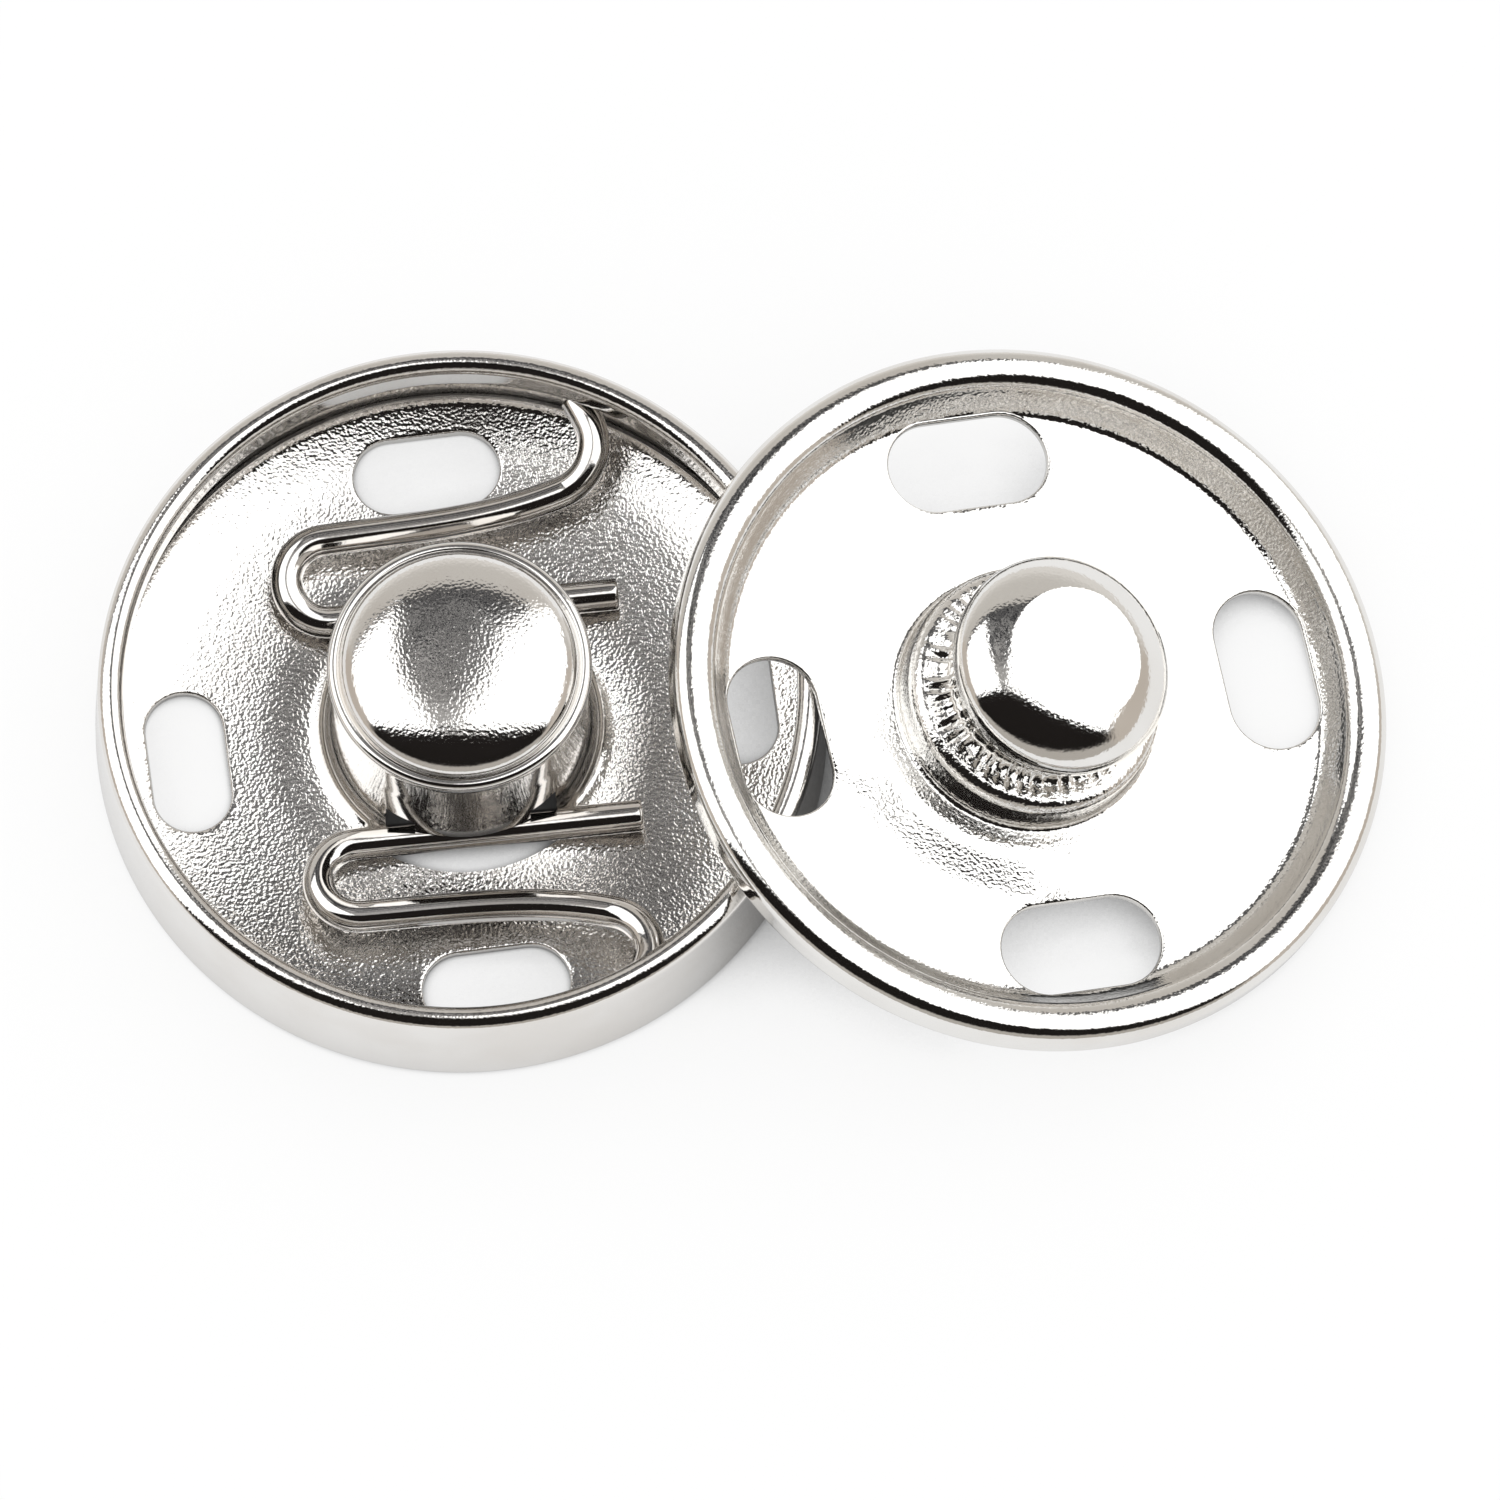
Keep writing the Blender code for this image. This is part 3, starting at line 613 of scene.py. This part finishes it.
NICKEL_PLATE = (0.80, 0.785, 0.765)
PLATE_CLOUD = (0.74, 0.715, 0.685)
WIRE_CLOUD = (0.72, 0.69, 0.66)
NICKEL_STUD = (0.81, 0.80, 0.78)
STUD_CLOUD = (0.75, 0.73, 0.70)
CLOUD_SCALE = 260.0
PEEL_SCALE = 11000.0
PEEL_HEIGHT = 0.0000155     # metres

# Where the sheet kept its grain: low and high height, inner and outer radius, amount
SOCKET_GRAIN = (
    (-0.1, 0.36, 4.3, 9.9, 1.0),        # floor
    (6.0, 7.0, 0.0, 3.6, 0.5),          # crown of the cup
    (3.45, 3.9, 9.5, 10.2, 0.25),       # rolled rim
)
STUD_GRAIN = (
    (-0.1, 1.0, 4.1, 9.5, 0.7),         # floor
    (4.45, 5.2, 0.0, 3.6, 0.3),         # crown
    (0.3, 2.0, 2.6, 4.1, 0.9),          # neck and foot
    (1.0, 1.6, 9.0, 10.1, 0.3),         # top of the rim
)
# Slope of the floor by the axis, then where it starts to change, where it is done, by how much
SOCKET_DISH = (-0.10, (4.6, 5.9, 0.16), (6.0, 7.6, 0.06), (7.8, 9.4, 0.20))
STUD_DENT = (0.0, (4.3, 4.9, -0.30), (5.6, 6.9, 0.30))
DENT_TOWARD = 242.0         # direction of the dent from the stud's axis


def nickel(name, color, tint, origin, tilt, grain, zones=(), dish=None, toward=None):
    """Bright nickel plate. Its own coordinates start on the disc's axis. The grain is noise,
    strongest in the zones. The dish is a bump whose slope is the sum of ramps over the radius."""
    material = bpy.data.materials.new(name)
    material.use_nodes = True
    n = Nodes(material.node_tree)
    where = n.new("ShaderNodeTexCoord").outputs["Object"]
    own = n.new("ShaderNodeMapping", vector_type="TEXTURE")
    n.put(where, own.inputs["Vector"])
    own.inputs["Location"].default_value = Vector(origin) * MM
    own.inputs["Rotation"].default_value = (0.0, math.radians(tilt), 0.0)
    own = own.outputs[0]
    x, y, z = n.split(own)
    radius = n.math("SQRT", n.math("ADD", n.math("MULTIPLY", x, x), n.math("MULTIPLY", y, y)))

    for low_z, high_z, low_r, high_r, amount in zones:
        inside = n.math("MULTIPLY", n.ease(z, (low_z - 0.12) * MM, (low_z + 0.05) * MM),
                        n.ease(z, (high_z + 0.12) * MM, (high_z - 0.05) * MM))
        inside = n.math("MULTIPLY", inside, n.ease(radius, (low_r - 0.3) * MM, low_r * MM))
        inside = n.math("MULTIPLY", inside, n.ease(radius, (high_r + 0.3) * MM, high_r * MM))
        grain = n.math("MAXIMUM", grain, n.math("MULTIPLY", inside, amount))

    peel = n.noise(own, PEEL_SCALE, 1.0, 0.3)
    bump = n.new("ShaderNodeBump")
    bump.inputs["Strength"].default_value = 1.0
    bump.inputs["Distance"].default_value = PEEL_HEIGHT
    n.put(n.math("MULTIPLY", peel, grain), bump.inputs["Height"])
    last = bump.outputs[0]
    if dish:
        bowl = n.math("MULTIPLY", radius, dish[0])
        for start, end, slope in dish[1:]:
            share = slope / ((end - start) * MM) * 0.5
            for edge, sign in ((start, 1.0), (end, -1.0)):
                far = n.math("MAXIMUM", n.math("SUBTRACT", radius, edge * MM), 0.0)
                far = n.math("MULTIPLY", n.math("MULTIPLY", far, far), sign * share)
                bowl = n.math("ADD", far, bowl)
        if toward is not None:
            ahead_x, ahead_y = heading(toward)
            facing = n.math("ADD", n.math("MULTIPLY", x, ahead_x), n.math("MULTIPLY", y, ahead_y))
            bowl = n.math("MULTIPLY", bowl, n.ease(n.math("DIVIDE", facing, radius), 0.70, 0.93))
        on_floor = n.ease(z, 0.45 * MM, 0.32 * MM)
        sink = n.new("ShaderNodeBump")
        sink.inputs["Distance"].default_value = 1.0
        n.put(on_floor, sink.inputs["Strength"])
        n.put(bowl, sink.inputs["Height"])
        n.put(last, sink.inputs["Normal"])
        last = sink.outputs[0]

    cloud = n.noise(own, CLOUD_SCALE, 3.0)
    shader = n.new("ShaderNodeBsdfPrincipled")
    n.put(n.mix(n.ease(cloud, 0.35, 0.7), color, tint), shader.inputs["Base Color"])
    shader.inputs["Metallic"].default_value = 1.0
    rough = n.math("ADD", n.math("MULTIPLY", grain, 0.03), n.ease(cloud, 0.2, 0.8, 0.06, 0.09))
    n.put(rough, shader.inputs["Roughness"])
    n.put(last, shader.inputs["Normal"])
    out = n.new("ShaderNodeOutputMaterial")
    n.put(shader.outputs[0], out.inputs[0])
    return material


socket_axis = (SOCKET_X, 0.0, 0.0)
nickel_plate = nickel(
    "nickel_plate", NICKEL_PLATE, PLATE_CLOUD, socket_axis, 0.0, 0.10, SOCKET_GRAIN, SOCKET_DISH)
nickel_wire = nickel("nickel_wire", NICKEL_PLATE, WIRE_CLOUD, socket_axis, 0.0, 0.06)
nickel_plate_stud = nickel(
    "nickel_plate_stud", NICKEL_STUD, STUD_CLOUD, (STUD_X, 0.0, STUD_Z), STUD_TILT, 0.16,
    STUD_GRAIN, STUD_DENT, DENT_TOWARD)


# ---------------------------------------------------------------- the four pieces

def beside_socket(points):
    """Points moved from the world's middle to the socket half's axis."""
    return points + [SOCKET_X, 0.0, 0.0]


blank = mesh_of("socket", closed(*turned(refined(socket_profile(), LONGEST_STEP), SOCKET_COLUMNS)))
socket = carved("socket_disc_nickel", blank, [
    hole_cutters(*SOCKET_HOLES),
    window_cutters(-WINDOW_HALF_WIDTH, WINDOW_HALF_WIDTH, WINDOW_TOP),
    window_cutters(NOTCH_INNER, NOTCH_OUTER, NOTCH_TOP, NOTCH_INSET),
    tunnel_cutters(),
])
place(socket, beside_socket)
finish_piece("socket_disc_nickel", socket, nickel_plate, "socket_disc")

rings, first, last = turned(refined(stud_profile(), LONGEST_STEP), STUD_COLUMNS)
blank = mesh_of("stud", closed(pleated(rings), first, last))
stud = carved("stud_disc_nickel", blank, [hole_cutters(*STUD_HOLES)])
place(stud, lambda points: seated(leaning(points)))
finish_piece("stud_disc_nickel", stud, nickel_plate_stud, "stud_disc")

for name, side in (("spring_back", 1.0), ("spring_front", -1.0)):
    wire = mesh_of(name + "_wire", closed(*spring_rings(side)))
    place(wire, beside_socket)
    finish_piece(name + "_wire", wire, nickel_wire, name)


# ---------------------------------------------------------------- floor, light and camera

PAPER_HALF = 0.9            # metres
PAPER_DROP = 0.00002        # below the snap's underside
PAPER = (0.95, 0.95, 0.95, 1.0)
SHADE_DISTANCE = 9.0        # how near metal has to be to dim the paper

# The room that the metal mirrors
BOX_LIGHT = (1.7, 1.7, 1.7)
EVEN_LIGHT = (0.95, 0.95, 0.95)
WHITE = (1.0, 1.0, 1.0)
BACK_LOW, BACK_HIGH = (0.66, 0.63, 0.59), (0.85, 0.82, 0.78)
BACK_CLUTTER = (0.30, 0.28, 0.26)
GAP_DARK, GAP_CLUTTER, GAP_FRONT = (0.03, 0.03, 0.034), (0.48, 0.47, 0.46), (0.42, 0.41, 0.40)
FRONT_NEAR, FRONT_FAR = (0.012, 0.010, 0.009), (0.50, 0.47, 0.43)
SIDES = (0.62, 0.56, 0.50)
RIGHT_BOX = dict(side=1.0, gap=-0.005, widening=0.27, back_edge=0.33, back_turn=1.0, soft=0.06)
LEFT_BOX = dict(side=-1.0, gap=0.19, widening=0.36, back_edge=0.87, back_turn=0.0, soft=0.03)

# The camera, from circles fitted to the two discs in the photograph
PHOTO_WIDTH = 1500.0
FOCAL_PIXELS = 24000.0
CAMERA_DISTANCE = 686.3
CAMERA_AZIMUTH, CAMERA_ELEVATION = 0.45, 69.994
AIM_RIGHT, AIM_DOWN = 288.6, 23.1       # pixels from the socket's axis to the picture's middle


def studio_floor():
    """A flat white sheet just under the snap. The camera and the metal see it white, with a painted
    shadow: an ambient-occlusion node dims its glow where metal stands close over it or beside it."""
    half = PAPER_HALF
    mesh = bpy.data.meshes.new("studio_floor")
    corners = [(-half, -half, 0.0), (half, -half, 0.0), (half, half, 0.0), (-half, half, 0.0)]
    mesh.from_pydata(corners, [], [(0, 1, 2, 3)])
    mesh.transform(Matrix.Translation((0.0, 0.0, -PAPER_DROP)))
    material = bpy.data.materials.new("white_paper")
    material.use_nodes = True
    n = Nodes(material.node_tree)
    path = n.new("ShaderNodeLightPath")
    seen = n.math("MAXIMUM", path.outputs["Is Camera Ray"], path.outputs["Is Glossy Ray"])
    seen = n.math("MAXIMUM", seen, path.outputs["Is Transmission Ray"])
    near = n.new("ShaderNodeAmbientOcclusion", samples=16)
    near.inputs["Distance"].default_value = SHADE_DISTANCE * MM
    # Painted shadow: the ambient-occlusion value dims the floor's glow under and beside the metal,
    # and dims it further where the metal mirrors the floor.
    share = n.ease(near.outputs["AO"], 0.05, 0.50, 0.02, 1.03)
    painted_shadow_in_metal = n.ease(near.outputs["AO"], 0.15, 0.80, 0.30, 1.0)
    painted_shadow_in_metal = n.ease(path.outputs["Is Glossy Ray"], 0.0, 1.0, 1.0, painted_shadow_in_metal)
    paper = n.new("ShaderNodeBsdfDiffuse")
    paper.inputs["Color"].default_value = PAPER
    glow = n.new("ShaderNodeEmission")
    glow.inputs["Color"].default_value = (*WHITE, 1.0)
    n.put(n.math("MULTIPLY", share, painted_shadow_in_metal), glow.inputs["Strength"])
    both = n.new("ShaderNodeMixShader")
    n.put(n.math("MULTIPLY", seen, 0.8), both.inputs[0])
    n.put(paper.outputs[0], both.inputs[1])
    n.put(glow.outputs[0], both.inputs[2])
    out = n.new("ShaderNodeOutputMaterial")
    n.put(both.outputs[0], out.inputs[0])
    mesh.materials.append(material)
    floor = add("studio_floor", mesh)


def soft_box(n, across, along, side, gap, widening, back_edge, back_turn, soft):
    """1 inside a soft box on one side: past the gap, which widens towards the back, short of its
    outer end, and between its back and front edges, which may slant."""
    u = n.math("MULTIPLY", across, side)
    inner = n.math("SUBTRACT", u, n.math("MULTIPLY", along, widening))
    inner = n.ease(inner, gap - 0.015, gap + 0.015)
    outer = n.ease(u, 2.8, 2.2)
    edge = n.math("SUBTRACT", along, n.math("MULTIPLY", u, back_turn))
    back = n.ease(edge, back_edge + soft, back_edge - soft)
    edge = n.math("ADD", along, n.math("MULTIPLY", u, 0.35))
    front = n.ease(edge, -0.16, -0.10)
    return n.math("MULTIPLY", n.math("MULTIPLY", inner, outer), n.math("MULTIPLY", back, front))


def studio_world():
    """The room as the metal sees it: a large soft box on each side, a dark gap between them
    overhead, a pale wall behind, and a dark front. Directions are read as the slopes across and
    along that a ray has for each step up."""
    world = bpy.data.worlds.new("studio")
    bpy.context.scene.world = world
    world.use_nodes = True
    n = Nodes(world.node_tree)
    x, y, z = n.split(n.new("ShaderNodeTexCoord").outputs["Generated"])
    up = n.math("MAXIMUM", z, 0.03)
    across = n.math("DIVIDE", x, up)
    along = n.math("DIVIDE", y, up)
    right_box = soft_box(n, across, along, **RIGHT_BOX)
    left_box = soft_box(n, across, along, **LEFT_BOX)
    slopes = n.new("ShaderNodeCombineXYZ")
    n.put(across, slopes.inputs[0])
    n.put(along, slopes.inputs[1])
    clutter = n.ease(n.noise(slopes.outputs[0], 10.0, 2.0, 0.6), 0.46, 0.56)
    clutter = n.math("MULTIPLY", clutter, n.ease(along, 0.85, 0.45, 0.35, 1.0))
    back = n.mix(n.ease(along, 1.6, 6.0), BACK_LOW, BACK_HIGH)
    back = n.mix(n.math("MULTIPLY", clutter, 0.45), back, BACK_CLUTTER)
    gap = n.mix(clutter, GAP_DARK, GAP_CLUTTER)
    gap = n.mix(n.ease(along, 0.30, 0.02), gap, GAP_FRONT)
    room = n.mix(n.ease(along, 1.0, 1.1), gap, back)
    front = n.mix(n.ease(along, -1.8, -2.8), FRONT_NEAR, FRONT_FAR)
    room = n.mix(n.ease(along, -0.14, -0.24), room, front)
    depth = n.math("SQRT", n.math("ADD", n.math("MULTIPLY", y, y), n.math("MULTIPLY", z, z)))
    wide = n.math("DIVIDE", n.math("ABSOLUTE", x), depth)
    room = n.mix(n.ease(wide, 1.5, 2.4), room, SIDES)
    room = n.mix(n.math("MAXIMUM", right_box, left_box), room, BOX_LIGHT)
    path = n.new("ShaderNodeLightPath")
    even = n.mix(path.outputs["Is Glossy Ray"], EVEN_LIGHT, room)
    sky = n.new("ShaderNodeBackground")
    n.put(n.mix(path.outputs["Is Camera Ray"], even, WHITE), sky.inputs["Color"])
    out = n.new("ShaderNodeOutputWorld")
    n.put(sky.outputs[0], out.inputs[0])


def studio_camera():
    """A long lens from the front, seventy degrees up, aimed so that the socket's axis stands
    where the photograph has it."""
    azimuth, elevation = math.radians(CAMERA_AZIMUTH), math.radians(CAMERA_ELEVATION)
    back = Vector((math.sin(azimuth) * math.cos(elevation), -math.cos(azimuth) * math.cos(elevation),
                   math.sin(elevation)))
    right = Vector((math.cos(azimuth), math.sin(azimuth), 0.0))
    up = back.cross(right)
    pixel = CAMERA_DISTANCE / FOCAL_PIXELS
    target = Vector((SOCKET_X, 0.0, 0.4)) + right * (AIM_RIGHT * pixel) - up * (AIM_DOWN * pixel)
    data = bpy.data.cameras.new("camera")
    data.sensor_width = 36.0
    data.lens = FOCAL_PIXELS / PHOTO_WIDTH * data.sensor_width
    data.clip_start = 0.05
    data.clip_end = 20.0
    camera = bpy.data.objects.new("camera", data)
    bpy.context.scene.collection.objects.link(camera)
    turn = Matrix((right, up, back)).transposed().to_4x4()
    camera.matrix_world = Matrix.Translation((target + back * CAMERA_DISTANCE) * MM) @ turn
    bpy.context.scene.camera = camera


studio_floor()
studio_world()
studio_camera()
bpy.context.scene.view_settings.view_transform = "Standard"

bpy.context.view_layer.update()
